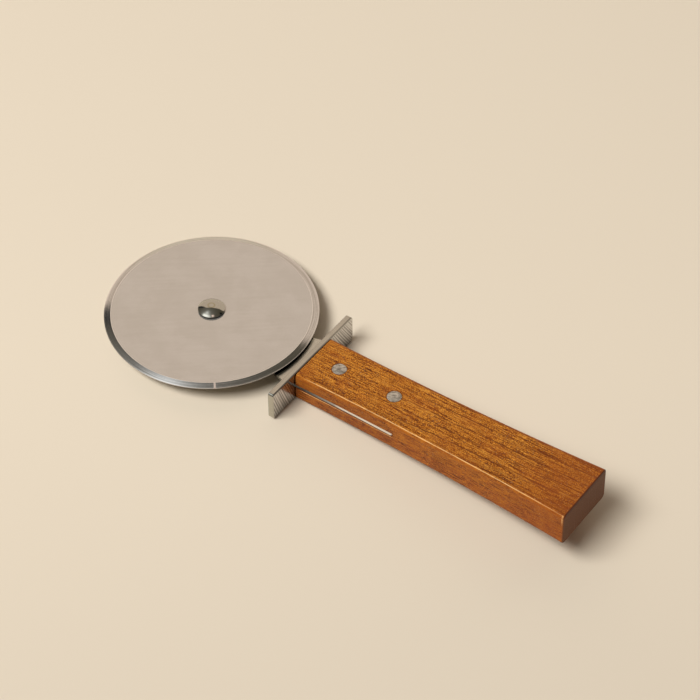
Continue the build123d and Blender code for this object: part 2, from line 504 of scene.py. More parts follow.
class NodeSheet:
    """The node sheet of one material or of the world."""

    def __init__(self, tree: bpy.types.NodeTree) -> None:
        """Starts with an empty sheet."""
        self.tree = tree
        tree.nodes.clear()

    def node(
        self,
        kind: str,
        settings: Mapping[str, Any] | None = None,
        inputs: Mapping[str | int, Any] | None = None,
        output: str | int = 0,
    ) -> Signal | None:
        """Adds one node.

        Args:
            kind: the node's type.
            settings: its settings, which are set first; "stops" gives a colour ramp's positions and colours.
            inputs: value or signal for each of its sockets, by name or number.
            output: the output that is wanted.

        Returns:
            That output as a signal, or nothing for a node that ends the sheet.
        """
        new = self.tree.nodes.new(kind)
        for key, value in (settings or {}).items():
            if key == "stops":
                ramp = new.color_ramp
                while len(ramp.elements) < len(value):
                    ramp.elements.new(1.0)
                for element, (position, colour) in zip(ramp.elements, value):
                    element.position = position
                    element.color = colour
            else:
                setattr(new, key, value)
        for key, value in (inputs or {}).items():
            if isinstance(value, Signal):
                self.tree.links.new(value.socket, new.inputs[key])
            else:
                new.inputs[key].default_value = value
        return Signal(self, new.outputs[output]) if len(new.outputs) else None

    def tool_axes(self) -> tuple[Signal, Signal, Signal]:
        """Finds the place on the piece, in millimetres in the tool's own frame.

        Returns:
            Its three parts.
        """
        place = self.node("ShaderNodeTexCoord", output="Object")
        back = TOOL.inverted()
        inputs = {
            "Vector": place,
            "Location": back.to_translation(),
            "Rotation": back.to_euler(),
            "Scale": (1 / MM, 1 / MM, 1 / MM),
        }
        return self.axes(self.node("ShaderNodeMapping", {"vector_type": "POINT"}, inputs))

    def axes(self, vector: Signal) -> tuple[Signal, Signal, Signal]:
        """Takes a vector apart.

        Args:
            vector: the vector.

        Returns:
            Its three parts.
        """
        x = self.node("ShaderNodeSeparateXYZ", None, {0: vector})
        return x, x.other("Y"), x.other("Z")

    def vector(self, x: Any, y: Any, z: Any) -> Signal:
        """Puts three values together to a vector."""
        return self.node("ShaderNodeCombineXYZ", None, {0: x, 1: y, 2: z})

    def noise(self, x: Any, y: Any, z: Any, detail: float = 2.0, roughness: float = 0.5) -> Signal:
        """Cloudy noise from 0 to 1 with a mean of a half, whose blotches are about one unit wide.

        Args:
            x: first coordinate.
            y: second coordinate.
            z: third coordinate.
            detail: number of finer layers.
            roughness: weight of each finer layer.

        Returns:
            The noise.
        """
        inputs = {"Vector": self.vector(x, y, z), "Scale": 1.0, "Detail": detail, "Roughness": roughness}
        return self.node("ShaderNodeTexNoise", {"noise_dimensions": "3D"}, inputs)

    def blend(self, share: Any, low: Any, high: Any) -> Signal:
        """Mixes two colours.

        Args:
            share: share of the second colour.
            low: first colour.
            high: second colour.

        Returns:
            The mixed colour.
        """
        return self.node("ShaderNodeMix", {"data_type": "RGBA"}, {0: share, 6: low, 7: high}, 2)

    def coats(self, colour: Any, *coats: tuple[Any, Any]) -> Signal:
        """Lays coats over a colour, one after the other.

        Args:
            colour: the colour underneath.
            *coats: share and colour of each coat.

        Returns:
            The colour that shows.
        """
        for share, paint in coats:
            colour = self.blend(share, colour, paint)
        return colour

    def ramp(self, share: Signal, *colours: tuple) -> Signal:
        """Runs a value from 0 to 1 through colours at even distances.

        Args:
            share: the value.
            *colours: the colours, the one for 0 first.

        Returns:
            The colour.
        """
        stops = [(i / (len(colours) - 1), colour) for i, colour in enumerate(colours)]
        return self.node("ShaderNodeValToRGB", {"stops": stops}, {0: share})

    def add_light(self, light: Any, colour: tuple, share: Any) -> Signal:
        """Adds a share of one colour to another.

        Args:
            light: the colour that is added to.
            colour: the colour that is added.
            share: how much of it.

        Returns:
            The sum.
        """
        inputs = {0: colour, 1: share, 2: light}
        return self.node("ShaderNodeVectorMath", {"operation": "MULTIPLY_ADD"}, inputs)

    def relief(self, height: Signal) -> Signal:
        """Turns a height in millimetres into a normal."""
        inputs = {"Height": height, "Distance": MM, "Strength": 1.0}
        return self.node("ShaderNodeBump", None, inputs, "Normal")

    def surface(self, **sockets: Any) -> None:
        """Ends the sheet in one surface shader.

        Args:
            **sockets: value or signal for each of the shader's sockets, with _ for a space in its name.
        """
        inputs = {name.replace("_", " "): value for name, value in sockets.items()}
        shader = self.node("ShaderNodeBsdfPrincipled", None, inputs)
        self.node("ShaderNodeOutputMaterial", None, {"Surface": shader})


@dataclass(frozen=True)
class Finish:
    """A finish that a piece is dressed in. Each kind draws its own node sheet."""

    title: ClassVar[str] = "finish"

    def material(self) -> bpy.types.Material:
        """Makes the material, or gives the one that is already there.

        Returns:
            The material.
        """
        there = bpy.data.materials.get(self.title)
        if there is not None:
            return there
        material = bpy.data.materials.new(self.title)
        material.use_nodes = True
        self.draw(NodeSheet(material.node_tree))
        return material

    def draw(self, sheet: NodeSheet) -> None:
        """Draws the node sheet."""
        raise NotImplementedError


@dataclass(frozen=True)
class PolishedBlade(Finish):
    """Blade steel polished to a mirror, with faint cloudy patches and wiping marks."""

    title: ClassVar[str] = "polished_blade"
    bright: tuple = (0.587, 0.563, 0.527, 1.0)
    dull: tuple = (0.545, 0.520, 0.480, 1.0)
    mirror: float = 0.75
    roughness: float = 0.07

    def draw(self, sheet: NodeSheet) -> None:
        """Draws the node sheet."""
        x, y, z = sheet.tool_axes()
        patches = sheet.noise(x / 14, y / 14, z, 3).step(0.35, 0.65)
        lengthwise, crosswise = x * 0.777 + y * 0.629, y * 0.777 - x * 0.629
        wiping = sheet.noise(lengthwise / 24, crosswise / 1.3, z, 2).step(0.4, 0.7)
        sheet.surface(
            Base_Color=sheet.blend(patches * 0.7 + wiping * 0.3, self.bright, self.dull),
            Metallic=self.mirror,
            Roughness=patches * 0.02 + wiping * 0.01 + self.roughness,
            Normal=sheet.relief(wiping * 0.0003 + patches * 0.002),
        )


@dataclass(frozen=True)
class GroundBevel(Finish):
    """The blade's bevel: streaks round the rim, a fine hatch across it, painted highlights along both its
    edges and one painted glint.

    The relief bows the bevel a little hollow, as a grinding wheel leaves it, with a burr at its inner edge
    and a land at its outer one.
    """

    title: ClassVar[str] = "ground_bevel"
    bright: tuple = (0.67, 0.665, 0.65, 1.0)
    dull: tuple = (0.50, 0.49, 0.47, 1.0)
    painted_highlight: tuple = (0.94, 0.93, 0.91, 1.0)
    roughness: float = 0.08
    hollow: float = 0.198
    burr: float = 0.17
    turn_up: float = 0.38
    inner: float = 46.87
    outer: float = 49.3
    land: float = 49.87
    painted_glint: tuple = (0.58, 0.47, 0.40, 1.0)
    glint_angle: float = 309.1

    def draw(self, sheet: NodeSheet) -> None:
        """Draws the node sheet."""
        x, y, _ = sheet.tool_axes()
        radius = x.length_with(y)
        across, along = x / radius, y / radius
        streaks = sheet.noise(across * 2, along * 2, radius * 2.1, 2, 0.6)
        hatch = sheet.noise(across * 60, along * 60, radius * 0.8, 2, 0.6)
        marks = streaks * 0.8 + hatch * 0.2
        beyond = (radius - self.inner).maths("MAXIMUM", 0.0)
        short = (self.inner - radius).maths("MAXIMUM", 0.0)
        flat = (radius - self.land).maths("MAXIMUM", 0.0)
        height = streaks * 0.036 + hatch * 0.006
        height = height - beyond * self.hollow - short * self.burr + flat * self.turn_up
        # The painted highlights along both edges fade on the side that the light reaches least.
        rim_away_from_light = (x * 0.77 + y * 0.64).step(28, 40) * 0.7
        rim = radius.step(self.outer - 0.1, self.outer + 0.15) * 0.6
        rim = rim + radius.step(self.outer + 0.2, self.outer + 0.4) * 0.4
        faint = (along * 0.86 - across * 0.51).step(0.45, 0.85) * 0.7
        edges = radius.step(self.inner + 0.1, self.inner - 0.05) * (1 - faint) + rim * (1 - rim_away_from_light)
        ground = sheet.blend(marks.step(0.38, 0.62), self.dull, self.bright)
        steel = sheet.blend(edges, ground, self.painted_highlight)
        # Painted glint: a narrow bright reflection laid across the bevel's colour.
        a = math.radians(self.glint_angle)
        reach = (x * math.cos(a) + y * math.sin(a)).step(46.8, 47.0)
        painted_glint = (x * math.sin(a) - y * math.cos(a)).band(-0.25, 0.25, 0.4) * reach
        sheet.surface(
            Base_Color=sheet.blend(painted_glint, steel, self.painted_glint),
            Metallic=1 - painted_glint * 0.8,
            Roughness=marks * 0.12 + self.roughness,
            Normal=sheet.relief(height),
        )


@dataclass(frozen=True)
class PolishedRivet(Finish):
    """Mirror polished rivet steel with faint turning marks, and painted shade round the foot of its head."""

    title: ClassVar[str] = "polished_rivet"
    colour: tuple = (0.50, 0.495, 0.445, 1.0)
    dull: tuple = (0.44, 0.435, 0.38, 1.0)
    ring: tuple = (0.38, 0.35, 0.22, 1.0)
    painted_shade: tuple = (0.02, 0.02, 0.022, 1.0)
    roughness: float = 0.05

    def draw(self, sheet: NodeSheet) -> None:
        """Draws the node sheet."""
        x, y, z = sheet.tool_axes()
        radius = x.length_with(y)
        turning = sheet.noise(x / 9, y / 9, radius * 6, 2)
        specks = sheet.noise(x * 1.6, y * 1.6, z, 2)
        steel = sheet.coats(
            self.colour,
            (turning.step(0.35, 0.7) * 0.6 + specks.step(0.5, 0.65) * 0.4, self.dull),
            (radius.band(1.3, 1.7, 0.3) * 0.6, self.ring),
            # Painted shade: the wall at the foot of the head is darkened nearly to black.
            (z.band(3.0, 4.15, 0.15) * 0.9, self.painted_shade),
        )
        sheet.surface(
            Base_Color=steel,
            Metallic=1.0,
            Roughness=turning * 0.04 + self.roughness,
            Normal=sheet.relief(turning * 0.003 + specks * 0.012),
        )


@dataclass(frozen=True)
class TurnedMetal(Finish):
    """Plain turned metal of the bush and the washers, with fine turning marks."""

    title: ClassVar[str] = "turned_metal"
    colour: tuple = (0.58, 0.57, 0.55, 1.0)
    dark: tuple = (0.40, 0.39, 0.38, 1.0)
    roughness: float = 0.28

    def draw(self, sheet: NodeSheet) -> None:
        """Draws the node sheet."""
        x, y, z = sheet.tool_axes()
        radius = x.length_with(y)
        turning = sheet.noise(x / 12, y / 12, radius * 7 + z * 7, 3)
        stains = sheet.noise(x / 3, y / 3, z / 3, 3).step(0.45, 0.7)
        sheet.surface(
            Base_Color=sheet.blend(stains, self.colour, self.dark),
            Metallic=1.0,
            Roughness=turning * 0.15 + self.roughness,
            Normal=sheet.relief(turning * 0.006),
        )


@dataclass(frozen=True)
class TurnedBrass(TurnedMetal):
    """Turned brass of the bush."""

    title: ClassVar[str] = "turned_brass"
    colour: tuple = (0.72, 0.52, 0.24, 1.0)
    dark: tuple = (0.45, 0.30, 0.13, 1.0)


@dataclass(frozen=True)
class SatinPlate(Finish):
    """Satin steel of the arm plate: painted shade under the wheel; in the handle buffed, with the tang's edge
    darker towards its front and along its lower part.
    """

    title: ClassVar[str] = "satin_plate"
    bright: tuple = (0.66, 0.645, 0.575, 1.0)
    dull: tuple = (0.56, 0.545, 0.48, 1.0)
    dark_steel: tuple = (0.19, 0.20, 0.205, 1.0)
    buffed: tuple = (0.93, 0.92, 0.90, 1.0)
    painted_shade: tuple = (0.03, 0.027, 0.022, 1.0)
    shelter: float = 50.05
    dark_front_end: float = 83.0
    foot_taper: float = 0.013
    roughness: float = 0.24

    def draw(self, sheet: NodeSheet) -> None:
        """Draws the node sheet."""
        x, y, z = sheet.tool_axes()
        brushing = sheet.noise(x / 9, y * 4, z * 4, 3)
        blotches = sheet.noise(x / 2.2, y / 2.2, z / 2.2, 3)
        radius = x.length_with(y)
        # Painted shade: the arm is darkened where it lies under the wheel's rim.
        under = radius.step(self.shelter + 0.1, self.shelter - 0.1) * x.step(20, 30)
        inside = x.step(HANDLE_FRONT - 0.6, HANDLE_FRONT - 0.2)
        # The tang's edge is darker towards its front and along its lower part.
        darkened_front = (x + blotches * 3).step(self.dark_front_end + 2, self.dark_front_end - 2) * inside
        depth = x.step(self.dark_front_end + 2, HANDLE_FRONT) * 0.5 + 0.35
        foot = (z + (x - HANDLE_FRONT) * self.foot_taper).step(0.10, -0.10) * inside * y.step(-8, -12)
        steel = sheet.coats(
            self.dull,
            (brushing.step(0.35, 0.65), self.bright),
            (inside * (brushing * 0.3 + 0.8), self.buffed),
            (darkened_front * (blotches * 0.3 + depth), self.dark_steel),
            (foot * 0.75, self.dark_steel),
            (under * 0.9, self.painted_shade),
        )
        sheet.surface(
            Base_Color=steel,
            Metallic=1.0,
            Roughness=brushing * 0.14 + self.roughness + darkened_front * 0.15,
            Normal=sheet.relief(brushing * 0.002),
        )


@dataclass(frozen=True)
class GuardSteel(Finish):
    """Bright guard steel: fine leaning grinding lines on its broad faces, painted dark reflections along its
    top edges.
    """

    title: ClassVar[str] = "guard_steel"
    bright: tuple = (0.78, 0.76, 0.74, 1.0)
    dull: tuple = (0.22, 0.21, 0.20, 1.0)
    plain: tuple = (0.60, 0.585, 0.515, 1.0)
    line: tuple = (0.05, 0.05, 0.055, 1.0)
    roughness: float = 0.12
    top: float = 6.6
    end: float = 30.2
    lean: float = 0.48
    lean_growth: float = 0.0045
    pitch: float = 1.3

    def draw(self, sheet: NodeSheet) -> None:
        """Draws the node sheet."""
        x, y, z = sheet.tool_axes()
        leaning = y + z * (y * self.lean_growth + self.lean)
        lines = sheet.noise(x / 6, leaning / 0.7, z / 60, 2, 0.5)
        fine = sheet.noise(x / 6, leaning * 3.0, z / 25, 2, 0.5)
        waves = ((leaning + lines * 1.3) * (2 * math.pi / self.pitch)).maths("SINE")
        clouds = sheet.noise(x / 5, y / 7, z / 5, 3)
        narrow = z.step(self.top - 0.3, self.top)
        narrow = narrow.maths("MAXIMUM", y.maths("ABSOLUTE").step(self.end, self.end + 0.3))
        marks = (lines * 0.4 + fine * 0.5 + waves * 0.11 + 0.03).step(0.26, 0.70)
        marks = marks * (z.step(-7, -2) * 0.35 + 0.65)
        satin = sheet.blend(fine * 0.2 + clouds * 0.25, self.plain, self.dull)
        faces = sheet.blend(narrow, sheet.blend(marks, self.dull, self.bright), satin)
        # Painted dark reflections along the top edges of both broad faces.
        painted_edge_shade = x.step(GUARD_BACK - 0.9, GUARD_BACK - 0.55) * (y.step(16, 2) * 0.5 + 0.5)
        painted_edge_shade = painted_edge_shade + x.step(GUARD_FRONT + 0.3, GUARD_FRONT + 0.15) * 0.5
        sheet.surface(
            Base_Color=sheet.blend(painted_edge_shade * z.step(self.top - 0.05, self.top + 0.15) * 0.78, faces, self.line),
            Metallic=1.0,
            Roughness=lines * 0.10 + clouds * 0.06 + self.roughness,
            Normal=sheet.relief(lines * 0.008),
        )


@dataclass(frozen=True)
class BrushedRivet(Finish):
    """Handle rivet steel, brushed by the belt that smoothed the wood, with a mottled grey face."""

    title: ClassVar[str] = "brushed_rivet"
    bright: tuple = (0.66, 0.61, 0.53, 1.0)
    dull: tuple = (0.20, 0.18, 0.15, 1.0)
    mirror: float = 0.75
    roughness: float = 0.30

    def draw(self, sheet: NodeSheet) -> None:
        """Draws the node sheet."""
        x, y, z = sheet.tool_axes()
        mottle = sheet.noise(x / 2.0, y / 2.0, z / 4, 3, 0.6)
        scratches = sheet.noise((x + y) / 3.6, (x - y) * 1.6, z, 3, 0.6)
        marks = mottle * 0.45 + scratches * 0.55
        sheet.surface(
            Base_Color=sheet.blend(marks.step(0.38, 0.60), self.dull, self.bright),
            Metallic=self.mirror,
            Roughness=marks * 0.22 + self.roughness,
            Normal=sheet.relief(marks * 0.04),
        )


# The share and the colour of each coat that a step adds.
Coats = list[tuple[Signal, tuple]]


class Grain:
    """A point's place on the handle in millimetres, and the wood's grain there."""

    def __init__(self, sheet: NodeSheet) -> None:
        """Works both out.

        Args:
            sheet: the sheet to draw on.
        """
        x, y, z = sheet.tool_axes()
        along = x - HANDLE_FRONT
        share = along / HANDLE_LENGTH
        self.sheet, self.along, self.y, self.z = sheet, along, y, z
        self.inset = share * share * 5.6 - share * 2.7 + HALF_WIDTH_FRONT - y.maths("ABSOLUTE")
        self.depth = share * HALF_THICKNESS_GROWTH + (HALF_THICKNESS_FRONT - HANDLE_DROP) - z
        self.on_side = self.inset.step(1.1, 0.3)
        self.plain = 1 - self.on_side * 0.75
        self.fibres = sheet.noise(along / 4.5, y / 0.5, z / 0.5, 3, 0.6)
        self.hairs = sheet.noise(along / 22, y / 0.42, z / 0.42, 2, 0.5)
        self.speckle = sheet.noise(along / 0.55, y / 0.42, z / 0.42, 1, 0.5)
        self.mottle = sheet.noise(along / 2.6, y / 1.5, z / 1.5, 3, 0.6)
        self.clouds = sheet.noise(along / 12, y / 5, z / 5, 2)


@dataclass(frozen=True)
class OiledWood(Finish):
    """Orange-brown hardwood, oiled. The grain is solid: it runs along the handle and through to every face.

    Each step gives coats, a share and a colour each, which are laid over one another in order. The two side
    streaks have a distance from the handle's front and a height.
    """

    title: ClassVar[str] = "oiled_handle_wood"
    tones: tuple = (
        linear(86, 34, 3),
        linear(130, 66, 11),
        linear(163, 95, 21),
        linear(188, 117, 32),
        linear(214, 146, 56),
    )
    dark: tuple = linear(92, 42, 10)
    red: tuple = linear(140, 66, 18)
    side: tuple = linear(156, 87, 30)
    low_side: tuple = linear(152, 80, 34)
    end_grain: tuple = linear(124, 76, 43)
    streak_and_shade: tuple = linear(84, 30, 14)
    light: tuple = linear(232, 184, 122)
    ring_spacing: float = 5.5
    ring_phase: float = 5.1
    ring_rise: float = 0.03
    contrast: float = 8.6
    roughness: float = 0.40
    side_streaks: tuple = ((109.0, 3.7), (88.6, -3.6))

    def growth_lines(self, g: Grain) -> Signal:
        """Draws the dark lines between the growth rings, broken and wandering.

        Args:
            g: place and grain.

        Returns:
            A signal that is 1 on a line.
        """
        drift = g.sheet.noise(g.along / 34, g.y / 7, g.z / 7, 2)
        wander = g.sheet.noise(g.along / 7, g.y / 2.5, g.z / 4, 2)
        ring = g.y - g.along * self.ring_rise + drift * 2.4 + wander * 0.6 - 1.5 - self.ring_phase
        line = ((ring / self.ring_spacing).maths("FRACT") - 0.5).maths("ABSOLUTE").step(0.42, 0.47)
        breaks = g.sheet.noise(g.along / 6, g.y * 1.2, g.z * 1.2, 3).step(0.34, 0.52)
        return line * breaks * (g.along.step(25, 75) * 0.6 + 0.4) * g.plain

    def side_face(self, g: Grain) -> Coats:
        """Gives the sides their banded grain, with a shadow along the front part of the slot.

        Args:
            g: place and grain.

        Returns:
            The coats, over the colour of the sides.
        """
        bands = g.fibres * 0.42 + g.speckle * 0.28 + g.clouds * 0.2 + g.mottle * 0.10
        above_tang = g.z.step(0, 1.5) * 0.22 + g.z.step(4.2, 2.2) * g.z.step(0, 0.9) * 0.16
        return [
            (g.z.step(-0.5, -1.5), self.low_side),
            (bands.step(0.5, 0.41), self.dark),
            (bands.step(0.5, 0.59), self.tones[3]),
            (above_tang * g.along.step(54, 48), self.streak_and_shade),
        ]

    def figure(self, g: Grain, lines: Signal) -> Coats:
        """Adds lines, threads and cross ticks to the top, and reddens it towards the butt.

        Args:
            g: place and grain.
            lines: the growth lines.

        Returns:
            The coats.
        """
        near_edge = g.y.step(-7, -11) * g.plain
        ticks = g.sheet.noise(g.along / 0.6, g.y / 1.3, g.z / 1.3, 2, 0.6)
        threads = g.sheet.noise(g.along / 9, g.y / 0.62, g.z / 0.62, 1, 0.5)
        figured = g.along.step(45, 80) * g.mottle.step(0.42, 0.58) * g.plain
        rear = g.along.step(88, 122) * g.plain
        return [
            (lines * 0.9, self.dark),
            (g.hairs.step(0.52, 0.60) * (near_edge * 0.25 + g.plain * 0.22), self.dark),
            (ticks.step(0.54, 0.64) * figured * 0.5, self.dark),
            (ticks.step(0.51, 0.58) * rear * 0.34, self.dark),
            (threads.step(0.54, 0.64) * (rear * 0.45 + g.plain * 0.15), self.dark),
            (threads.step(0.42, 0.34) * (rear * 0.25 + g.plain * 0.15), self.tones[3]),
            (g.clouds.step(0.45, 0.65) * 0.25, self.red),
            (g.along.step(105, 138) * 0.42, self.red),
            (g.along.step(126, 144) * g.plain * 0.14, self.streak_and_shade),
            # Painted shade: the red tone laid darker along the far rounded edge.
            (g.y.step(0, 4) * g.inset.step(3.0, 0.6) * 0.55, self.red),
            (g.speckle.step(0.34, 0.24) * 0.5, self.light),
        ]

    def edge_light_and_shade(self, g: Grain) -> Coats:
        """Paints highlights on the upper right edge and the rear corner, with darker grain beside them and
        painted shade on the rounding below.

        Args:
            g: place and grain.

        Returns:
            The coats.
        """
        near = g.y.step(0, -4) * g.depth.step(3, 2)
        round_over = g.inset - g.depth + g.along.step(45, 65) * 0.3
        # Painted highlight: the gloss along the upper edge's rounding.
        painted_highlight = round_over.band(0.15, 0.42, 0.32) * near * g.along.step(2, 14) * g.along.step(160, 110)
        # Painted highlight on the rear corner of the side.
        corner = g.along.band(HANDLE_LENGTH - 1.2, HANDLE_LENGTH - 0.6, 0.3) * g.on_side
        corner = corner * g.y.step(0, -4) * g.z.step(1.5, 6)
        return [
            (round_over.band(1.5, 2.0, 0.35) * near * 0.4, self.dark),
            (painted_highlight * (g.fibres * 1.2 + 0.1), self.light),
            (corner * (g.fibres * 0.7 + 0.1), self.light),
            # Painted shade: the sides' colour laid over the rounding below the highlight.
            (round_over.band(-1.9, -0.8, 0.4) * near * 0.3, self.side),
        ]

    def slot_edges(self, g: Grain) -> Coats:
        """Paints a highlight on the slot's lower lip and shade in its mouth and above the tang's front, and
        adds the streaks on the side.

        Args:
            g: place and grain.

        Returns:
            The coats.
        """
        slotted = g.on_side * g.along.step(TANG_LENGTH + 1, TANG_LENGTH - 1)
        # Painted highlight along the slot's lower lip.
        lip = g.z.band(SLOT_FLOOR - 0.6, SLOT_FLOOR - 0.3, 0.15) * slotted * g.along.step(1, 6)
        above = g.z.band(SLOT_TOP - 0.25, SLOT_TOP + 0.17, 0.1) * slotted * g.along.step(34, 20)
        coats = [
            (lip * g.hairs.step(0.35, 0.6) * 0.8, self.light),
            # Painted shade in the slot's mouth, and above the slot along the tang's front part.
            (g.z.band(SLOT_FLOOR - 0.2, 0.0, 0.08) * slotted * 0.85, self.streak_and_shade),
            (above * 0.6, self.streak_and_shade),
            (g.z.step(-1, -3) * g.along.band(18, 52, 6) * g.on_side * 0.25, self.streak_and_shade),
        ]
        for place, height in self.side_streaks:
            off_line = g.z + HANDLE_DROP - height + g.fibres * 0.6 - 0.3
            reach = ((g.along - place) / 3.4) ** 2.0 + (off_line / 0.5) ** 2.0
            coats.append((reach.step(1.6, 0.2) * g.y.step(-13, -14) * 0.7, self.streak_and_shade))
        return coats

    def cut_end(self, g: Grain) -> Signal:
        """Gives the butt its end grain, with pores and a dark upper edge.

        Args:
            g: place and grain.

        Returns:
            The colour.
        """
        pores = g.sheet.noise(g.y / 0.8, g.z / 0.5, g.along / 5, 3, 0.6)
        coats = [(pores.step(0.42, 0.64) * 0.4, self.dark), (g.depth.step(2.6, 0.9) * 0.6, self.streak_and_shade)]
        return g.sheet.coats(self.end_grain, *coats)

    def rivet_shade(self, g: Grain) -> Coats:
        """Coats of painted shade that darken the wood round each rivet."""
        distances = [(g.along - (x - HANDLE_FRONT)).length_with(g.y) for x in RIVET_PLACES.values()]
        return [(distance.step(RIVET_HEAD + 0.9, RIVET_HEAD) * 0.6, self.dark) for distance in distances]

    def draw(self, sheet: NodeSheet) -> None:
        """Draws the node sheet."""
        g = Grain(sheet)
        tone = g.fibres * 0.27 + g.speckle * 0.37 + g.hairs * 0.33 + g.clouds * 0.03
        lines = self.growth_lines(g)
        butt = g.along.step(HANDLE_LENGTH - 0.75, HANDLE_LENGTH - 0.25)
        colour = sheet.coats(
            sheet.ramp((tone - 0.5) * self.contrast + 0.5, *self.tones),
            (g.on_side * 0.84, sheet.coats(self.side, *self.side_face(g))),
            *self.figure(g, lines),
            *self.edge_light_and_shade(g),
            *self.slot_edges(g),
            (butt, self.cut_end(g)),
            *self.rivet_shade(g),
        )
        sheet.surface(
            Base_Color=colour,
            Roughness=g.fibres * 0.16 + g.speckle * 0.06 + self.roughness,
            Specular_IOR_Level=0.15,
            Coat_Weight=g.fibres * 0.10 + 0.03,
            Coat_Roughness=0.25,
            Normal=sheet.relief(g.fibres * 0.03 - lines * 0.03 - g.speckle * 0.02 + g.mottle * 0.03),
        )


@dataclass(frozen=True)
class PaleFloor(Finish):
    """The plain pale floor, with painted shade that darkens it towards the front."""

    title: ClassVar[str] = "pale_floor"
    colour: tuple = (0.735, 0.651, 0.528, 1.0)
    shade: tuple = (0.65, 0.576, 0.47, 1.0)

    def draw(self, sheet: NodeSheet) -> None:
        """Draws the node sheet."""
        x, y, z = sheet.axes(sheet.node("ShaderNodeTexCoord", output="Object"))
        clouds = sheet.noise(x * 6, y * 6, z, 3)
        # Painted shade: the floor's tone falls off towards the front.
        painted_falloff = (x * 0.63 - y * 0.777).step(-0.05, 0.24)
        tone = sheet.blend(painted_falloff * 0.9 + clouds * 0.1, self.colour, self.shade)
        sheet.surface(Base_Color=tone, Roughness=0.9, Specular_IOR_Level=0.15)


@dataclass
class CuttingWheel:
    """The round blade, bevelled from both faces."""

    bore: float = 4.05
    flat_radius: float = 46.7
    radius: float = 50.0
    bottom: float = 2.05
    top: float = 3.55
    land: float = 0.06
    corner: float = 0.09
    segments: int = 256

    def build(self) -> Piece:
        """Turns the blade and gives its bevels a finish of their own.

        Returns:
            The blade in its place.
        """
        rings = [
            (self.bore, self.bottom),
            (self.flat_radius, self.bottom),
            (self.radius, WHEEL_MIDDLE - self.land),
            (self.radius, WHEEL_MIDDLE + self.land),
            (self.flat_radius, self.top),
            (self.bore, self.top),
            (self.bore, self.bottom),
        ]
        blade = Bench.turned("ground_blade", rings, self.segments)
        Bench.break_edges(blade, self.corner, angle=8)
        Bench.shade(blade, angle=25)
        middles = [face.center.copy() for face in blade.data.polygons]
        zones = [int(math.hypot(middle.x, middle.y) > self.flat_radius) for middle in middles]
        finishes = (PolishedBlade(), GroundBevel())
        Bench.hand_in(blade, Body.WHEEL, "cutting_wheel", "polished_wheel_steel", *finishes)
        blade.data.polygons.foreach_set("material_index", zones)
        return blade


@dataclass
class AxleStack:
    """The rivet that the wheel turns on, with its bush and washers.

    The pip's profile has the radius of each ring and its height over the dome, and the bush and washers have
    outer radius, bore radius, bottom and top.
    """

    shank: float = 2.5
    head: float = 6.3
    head_seat: float = 3.6
    head_base: float = 4.5
    head_rise: float = 1.9
    head_corner: float = 0.15
    pip: float = 0.8
    pip_profile: tuple = ((0.68, -0.03), (0.56, -0.01), (0.25, 0.02), (0.04, 0.03))
    tail: float = 4.0
    tail_seat: float = -1.35
    tail_rim: float = 0.25
    tail_rise: float = 0.45
    bush: tuple = (4.0, 2.55, 0.75, 3.6)
    spacer: tuple = (7.5, 4.1, 0.75, 2.0)
    tail_washer: tuple = (5.5, 2.55, -1.35, -0.75)
    edge: float = 0.08
    segments: int = 128

    def rivet(self) -> Piece:
        """Turns the rivet with its domed head, the small pip on top and the spread tail.

        Returns:
            The rivet in its place.
        """
        tail_base = self.tail_seat - self.tail_rim
        corner = self.head_corner
        head = dome(self.head, self.head_base, self.head_rise, steps=24, inner=self.pip)
        top = head[-1][1]
        rings = dome(self.tail, tail_base, -self.tail_rise, steps=8, inner=0.04)[::-1]
        rings += [(self.tail, self.tail_seat), (self.shank, self.tail_seat), (self.shank, self.head_seat)]
        rings += [(self.head - corner, self.head_seat), (self.head, self.head_seat + corner)]
        rings += head + [(radius, top + rise) for radius, rise in self.pip_profile]
        rivet = Bench.turned("domed_axle_rivet", rings, self.segments)
        Bench.shade(rivet, angle=35)
        return Bench.hand_in(rivet, Body.GRIP, "axle_rivet", "polished_rivet_steel", PolishedRivet())

    def ring(self, name: str, node: str, slot: str, finish: Finish, sizes: Sequence[float]) -> Piece:
        """Turns a bush or washer with broken edges.

        Args:
            name: name of the piece.
            node: CAD node that it stands for.
            slot: the record's material slot.
            finish: its finish.
            sizes: outer radius, bore radius, bottom and top.

        Returns:
            The ring in its place.
        """
        outer, bore, bottom, top = sizes
        corners = [(bore, bottom), (outer, bottom), (outer, top), (bore, top), (bore, bottom)]
        ring = Bench.turned(name, corners, self.segments)
        Bench.break_edges(ring, self.edge)
        Bench.shade(ring)
        return Bench.hand_in(ring, Body.GRIP, node, slot, finish)

    def build(self) -> None:
        """Makes the rivet, the bush and both washers."""
        self.rivet()
        self.ring("turned_bush", "axle_bush", "bush_brass", TurnedBrass(), self.bush)
        self.ring("spacer_ring", "spacer_washer", "washer_steel", TurnedMetal(), self.spacer)
        self.ring("tail_ring", "tail_washer", "washer_steel", TurnedMetal(), self.tail_washer)


def handle_half_width(x: float) -> float:
    """Half the handle's width, on an arc through its front, middle and rear.

    Args:
        x: distance from the axle.

    Returns:
        Half the width there.
    """
    front, middle, rear = HALF_WIDTH_FRONT, HALF_WIDTH_MIDDLE, HALF_WIDTH_REAR
    half = HANDLE_LENGTH / 2
    centre_y = (half**2 + (rear**2 + front**2) / 2 - middle**2) / (front + rear - 2 * middle)
    centre_x = (rear - front) * (rear + front - 2 * centre_y) / (4 * half)
    radius = math.hypot(centre_x, middle - centre_y)
    return centre_y - math.sqrt(radius**2 - (x - HANDLE_FRONT - half - centre_x) ** 2)


def handle_half_thickness(x: float) -> float:
    """Half the handle's thickness at a distance from the axle."""
    return HALF_THICKNESS_FRONT + HALF_THICKNESS_GROWTH * (x - HANDLE_FRONT) / HANDLE_LENGTH


